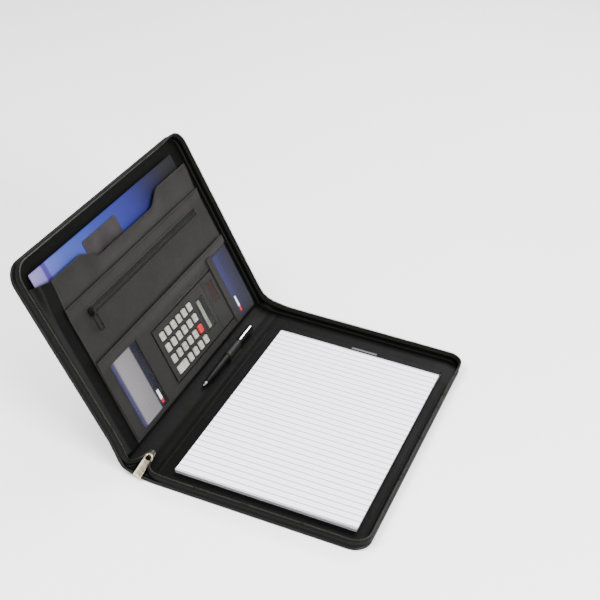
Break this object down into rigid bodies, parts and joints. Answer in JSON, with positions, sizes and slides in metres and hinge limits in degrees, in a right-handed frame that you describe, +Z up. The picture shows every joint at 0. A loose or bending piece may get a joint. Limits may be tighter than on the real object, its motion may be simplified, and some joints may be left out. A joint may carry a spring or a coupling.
{
  "type": "portfolio case",
  "caption": "Zip-round leather A4 portfolio case that opens at a two-fold spine, with a writing pad, an organiser panel of pockets, a calculator and a pen.",
  "frame": {"origin": "centre of the back cover's flat underside, which lies on the table", "axes": "+Z up, +Y along the spine from its near end to its far end, +X from the spine to the back half's fore-edge"},
  "size_m": [0.4125, 0.3693, 0.2304],
  "materials": {
    "leather_outer": "smooth dark navy-black leather, semi-matt, fine grain",
    "leather_inner": "charcoal lining leather, matt, fine grain",
    "board": "uncoated grey board",
    "zip": "woven zip tape with moulded coil teeth",
    "satin_metal": "satin nickel, faintly warm",
    "dark_metal": "black lacquered zinc",
    "badge_metal": "gunmetal plate with a thin raised rim",
    "pad_paper": "white writing paper ruled in pale grey",
    "pad_card": "black head binding over a grey backing card",
    "brochure_paper": "coated blue printed folder",
    "card_paper": "coated pale card",
    "slot_card_paper": "coated dark blue card",
    "clear_plastic": "clear film",
    "calculator_plastic": "fine-textured charcoal plastic",
    "display": "grey-green liquid crystal display",
    "key_plastic": "light grey rubbery plastic",
    "red_key": "red rubbery plastic",
    "pen_plastic": "black lacquer",
    "pen_metal": "bright chrome"
  },
  "bodies": {
    "back_half": {"back_cover": "leather_outer", "back_board": "board", "back_lining": "leather_inner", "back_gusset": "leather_inner", "back_zip_tape": "zip", "pad_pocket": "leather_inner"},
    "pad": {"pad_backing": "pad_card", "pad_sheets": "pad_paper"},
    "writing_sheet": {"writing_sheet": "pad_paper"},
    "spine": {"spine_cover": "leather_outer", "spine_gusset_near": "leather_inner", "spine_gusset_far": "leather_inner", "zip_slider": "satin_metal", "pen_loop": "leather_inner"},
    "zip_puller": {"zip_puller": "satin_metal"},
    "pen": {"pen_barrel": "pen_plastic", "pen_cap": "pen_metal"},
    "front_half": {"front_cover": "leather_outer", "front_edge_strip": "leather_outer", "front_badge": "badge_metal", "front_board": "board", "front_lining": "leather_inner", "front_gusset": "leather_inner", "front_zip_tape": "zip", "document_pocket": "leather_inner", "zip_pocket": "leather_inner", "lower_band": "leather_inner", "card_window": "clear_plastic", "calculator_case": "calculator_plastic", "calculator_display": "display"},
    "brochure": {"brochure": "brochure_paper"},
    "pocket_zip_slider": {"pocket_zip_slider": "dark_metal"},
    "pocket_zip_puller": {"pocket_zip_puller": "dark_metal"},
    "business_card": {"business_card": "card_paper"},
    "slot_card_1": {"slot_card_1": "slot_card_paper"},
    "slot_card_2": {"slot_card_2": "slot_card_paper"},
    "slot_card_3": {"slot_card_3": "slot_card_paper"},
    "key_1_1": {"key_1_1": "key_plastic"},
    "key_1_3": {"key_1_3": "key_plastic"},
    "key_1_4": {"key_1_4": "key_plastic"},
    "key_1_5": {"key_1_5": "key_plastic"},
    "key_1_6": {"key_1_6": "key_plastic"},
    "key_2_1": {"key_2_1": "key_plastic"},
    "key_2_2": {"key_2_2": "key_plastic"},
    "key_2_3": {"key_2_3": "key_plastic"},
    "key_2_4": {"key_2_4": "key_plastic"},
    "key_2_5": {"key_2_5": "key_plastic"},
    "key_2_6": {"key_2_6": "red_key"},
    "key_3_1": {"key_3_1": "key_plastic"},
    "key_3_2": {"key_3_2": "key_plastic"},
    "key_3_3": {"key_3_3": "key_plastic"},
    "key_3_4": {"key_3_4": "key_plastic"},
    "key_3_5": {"key_3_5": "key_plastic"},
    "key_3_6": {"key_3_6": "key_plastic"},
    "key_4_1": {"key_4_1": "key_plastic"},
    "key_4_2": {"key_4_2": "key_plastic"},
    "key_4_3": {"key_4_3": "key_plastic"},
    "key_4_4": {"key_4_4": "key_plastic"},
    "key_4_5": {"key_4_5": "key_plastic"},
    "key_4_6": {"key_4_6": "key_plastic"}
  },
  "joints": [
    {"name": "back_fold", "type": "hinge", "parent": "back_half", "child": "spine", "pos_m": [-0.12735, 0, 0], "axis": [0, 1, 0], "range_deg": [-14, 76]},
    {"name": "front_fold", "type": "hinge", "parent": "spine", "child": "front_half", "pos_m": [-0.15646, 0, 0.00726], "axis": [0, 1, 0], "range_deg": [-45, 45]},
    {"name": "pad_slide", "type": "slide", "parent": "back_half", "child": "pad", "axis": [0, 1, 0], "range_m": [0, 0.028]},
    {"name": "sheet_turn", "type": "hinge", "parent": "pad", "child": "writing_sheet", "pos_m": [0.00225, 0.136, 0.01015], "axis": [1, 0, 0], "range_deg": [-165, 0]},
    {"name": "zip_puller_swing", "type": "hinge", "parent": "spine", "child": "zip_puller", "pos_m": [-0.1342, -0.1574, 0.01717], "axis": [-0.9703, 0, 0.2419], "range_deg": [0, 200]},
    {"name": "pen_slide", "type": "slide", "parent": "spine", "child": "pen", "axis": [0, 1, 0], "range_m": [0, 0.047]},
    {"name": "brochure_slide", "type": "slide", "parent": "front_half", "child": "brochure", "axis": [-0.515, 0, 0.8572], "range_m": [0, 0.012]},
    {"name": "pocket_zip_run", "type": "slide", "parent": "front_half", "child": "pocket_zip_slider", "axis": [0, 1, 0], "range_m": [0, 0.24]},
    {"name": "pocket_puller_swing", "type": "hinge", "parent": "pocket_zip_slider", "child": "pocket_zip_puller", "pos_m": [-0.22558, -0.1145, 0.14889], "axis": [0, -1, 0], "range_deg": [0, 180]},
    {"name": "business_card_slide", "type": "slide", "parent": "front_half", "child": "business_card", "axis": [0, 1, 0], "range_m": [0, 0.02]},
    {"name": "slot_card_1_slide", "type": "slide", "parent": "front_half", "child": "slot_card_1", "axis": [0, 1, 0], "range_m": [0, 0.014]},
    {"name": "slot_card_2_slide", "type": "slide", "parent": "front_half", "child": "slot_card_2", "axis": [0, 1, 0], "range_m": [0, 0.014]},
    {"name": "slot_card_3_slide", "type": "slide", "parent": "front_half", "child": "slot_card_3", "axis": [0, 1, 0], "range_m": [0, 0.014]},
    {"name": "key_1_1_press", "type": "slide", "parent": "front_half", "child": "key_1_1", "axis": [-0.8572, 0, -0.515], "range_m": [0, 0.0008], "stiffness_N_per_m": 400, "springref_m": -0.0004},
    {"name": "key_1_3_press", "type": "slide", "parent": "front_half", "child": "key_1_3", "axis": [-0.8572, 0, -0.515], "range_m": [0, 0.0008], "stiffness_N_per_m": 400, "springref_m": -0.0004},
    {"name": "key_1_4_press", "type": "slide", "parent": "front_half", "child": "key_1_4", "axis": [-0.8572, 0, -0.515], "range_m": [0, 0.0008], "stiffness_N_per_m": 400, "springref_m": -0.0004},
    {"name": "key_1_5_press", "type": "slide", "parent": "front_half", "child": "key_1_5", "axis": [-0.8572, 0, -0.515], "range_m": [0, 0.0008], "stiffness_N_per_m": 400, "springref_m": -0.0004},
    {"name": "key_1_6_press", "type": "slide", "parent": "front_half", "child": "key_1_6", "axis": [-0.8572, 0, -0.515], "range_m": [0, 0.0008], "stiffness_N_per_m": 400, "springref_m": -0.0004},
    {"name": "key_2_1_press", "type": "slide", "parent": "front_half", "child": "key_2_1", "axis": [-0.8572, 0, -0.515], "range_m": [0, 0.0008], "stiffness_N_per_m": 400, "springref_m": -0.0004},
    {"name": "key_2_2_press", "type": "slide", "parent": "front_half", "child": "key_2_2", "axis": [-0.8572, 0, -0.515], "range_m": [0, 0.0008], "stiffness_N_per_m": 400, "springref_m": -0.0004},
    {"name": "key_2_3_press", "type": "slide", "parent": "front_half", "child": "key_2_3", "axis": [-0.8572, 0, -0.515], "range_m": [0, 0.0008], "stiffness_N_per_m": 400, "springref_m": -0.0004},
    {"name": "key_2_4_press", "type": "slide", "parent": "front_half", "child": "key_2_4", "axis": [-0.8572, 0, -0.515], "range_m": [0, 0.0008], "stiffness_N_per_m": 400, "springref_m": -0.0004},
    {"name": "key_2_5_press", "type": "slide", "parent": "front_half", "child": "key_2_5", "axis": [-0.8572, 0, -0.515], "range_m": [0, 0.0008], "stiffness_N_per_m": 400, "springref_m": -0.0004},
    {"name": "key_2_6_press", "type": "slide", "parent": "front_half", "child": "key_2_6", "axis": [-0.8572, 0, -0.515], "range_m": [0, 0.0008], "stiffness_N_per_m": 400, "springref_m": -0.0004},
    {"name": "key_3_1_press", "type": "slide", "parent": "front_half", "child": "key_3_1", "axis": [-0.8572, 0, -0.515], "range_m": [0, 0.0008], "stiffness_N_per_m": 400, "springref_m": -0.0004},
    {"name": "key_3_2_press", "type": "slide", "parent": "front_half", "child": "key_3_2", "axis": [-0.8572, 0, -0.515], "range_m": [0, 0.0008], "stiffness_N_per_m": 400, "springref_m": -0.0004},
    {"name": "key_3_3_press", "type": "slide", "parent": "front_half", "child": "key_3_3", "axis": [-0.8572, 0, -0.515], "range_m": [0, 0.0008], "stiffness_N_per_m": 400, "springref_m": -0.0004},
    {"name": "key_3_4_press", "type": "slide", "parent": "front_half", "child": "key_3_4", "axis": [-0.8572, 0, -0.515], "range_m": [0, 0.0008], "stiffness_N_per_m": 400, "springref_m": -0.0004},
    {"name": "key_3_5_press", "type": "slide", "parent": "front_half", "child": "key_3_5", "axis": [-0.8572, 0, -0.515], "range_m": [0, 0.0008], "stiffness_N_per_m": 400, "springref_m": -0.0004},
    {"name": "key_3_6_press", "type": "slide", "parent": "front_half", "child": "key_3_6", "axis": [-0.8572, 0, -0.515], "range_m": [0, 0.0008], "stiffness_N_per_m": 400, "springref_m": -0.0004},
    {"name": "key_4_1_press", "type": "slide", "parent": "front_half", "child": "key_4_1", "axis": [-0.8572, 0, -0.515], "range_m": [0, 0.0008], "stiffness_N_per_m": 400, "springref_m": -0.0004},
    {"name": "key_4_2_press", "type": "slide", "parent": "front_half", "child": "key_4_2", "axis": [-0.8572, 0, -0.515], "range_m": [0, 0.0008], "stiffness_N_per_m": 400, "springref_m": -0.0004},
    {"name": "key_4_3_press", "type": "slide", "parent": "front_half", "child": "key_4_3", "axis": [-0.8572, 0, -0.515], "range_m": [0, 0.0008], "stiffness_N_per_m": 400, "springref_m": -0.0004},
    {"name": "key_4_4_press", "type": "slide", "parent": "front_half", "child": "key_4_4", "axis": [-0.8572, 0, -0.515], "range_m": [0, 0.0008], "stiffness_N_per_m": 400, "springref_m": -0.0004},
    {"name": "key_4_5_press", "type": "slide", "parent": "front_half", "child": "key_4_5", "axis": [-0.8572, 0, -0.515], "range_m": [0, 0.0008], "stiffness_N_per_m": 400, "springref_m": -0.0004},
    {"name": "key_4_6_press", "type": "slide", "parent": "front_half", "child": "key_4_6", "axis": [-0.8572, 0, -0.515], "range_m": [0, 0.0008], "stiffness_N_per_m": 400, "springref_m": -0.0004}
  ]
}
